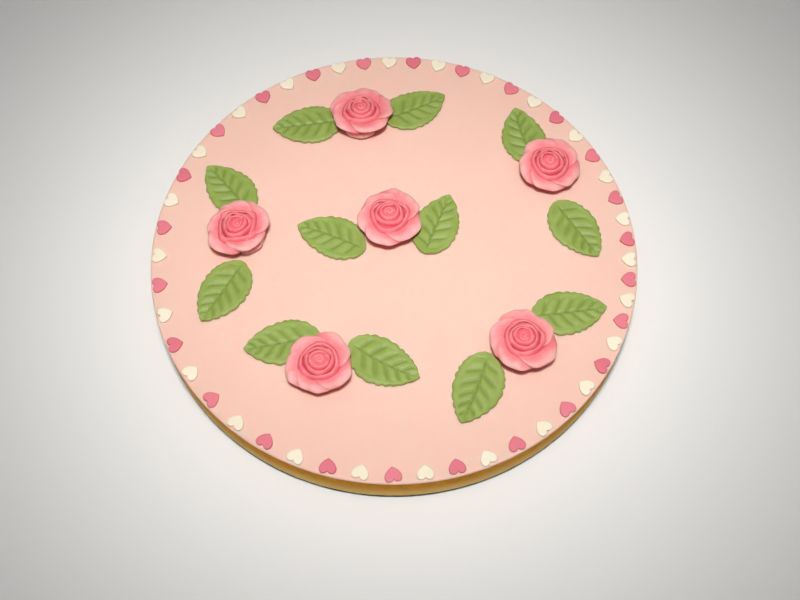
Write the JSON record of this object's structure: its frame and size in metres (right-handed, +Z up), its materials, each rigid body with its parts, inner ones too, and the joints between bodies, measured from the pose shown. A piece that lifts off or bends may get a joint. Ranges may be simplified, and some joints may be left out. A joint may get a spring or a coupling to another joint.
{
  "type": "jelly cake",
  "caption": "Low round jelly cake: a baked crumb base under a thin pink jelly top, decorated with sugar-paste roses, veined leaves and a rim of small hearts.",
  "frame": {"origin": "centre of the cake's underside", "axes": "+Z up out of the jelly top; -Y towards the side nearest the viewer in the picture; +X to that viewer's right"},
  "size_m": [0.24, 0.24, 0.0331],
  "materials": {
    "crumb": "smooth baked golden-brown crumb",
    "jelly": "set milky pink jelly, soft sheen",
    "heart_pink": "pressed sugar, matt",
    "heart_white": "pressed sugar, matt",
    "rose_paste": "sugar paste, satin",
    "leaf_paste": "sugar paste, satin"
  },
  "bodies": {
    "root": {"crumb_base": "crumb", "jelly_top": "jelly", "rose_back": "rose_paste", "leaf_back_left": "leaf_paste", "leaf_back_right": "leaf_paste", "rose_right": "rose_paste", "leaf_right_upper": "leaf_paste", "leaf_right_lower": "leaf_paste", "rose_centre": "rose_paste", "leaf_centre_left": "leaf_paste", "leaf_centre_right": "leaf_paste", "rose_left": "rose_paste", "leaf_left_upper": "leaf_paste", "leaf_left_lower": "leaf_paste", "rose_front_right": "rose_paste", "leaf_front_right_outer": "leaf_paste", "leaf_front_right_inner": "leaf_paste", "rose_front_left": "rose_paste", "leaf_front_left_outer": "leaf_paste", "leaf_front_left_inner": "leaf_paste"}
  },
  "joints": []
}
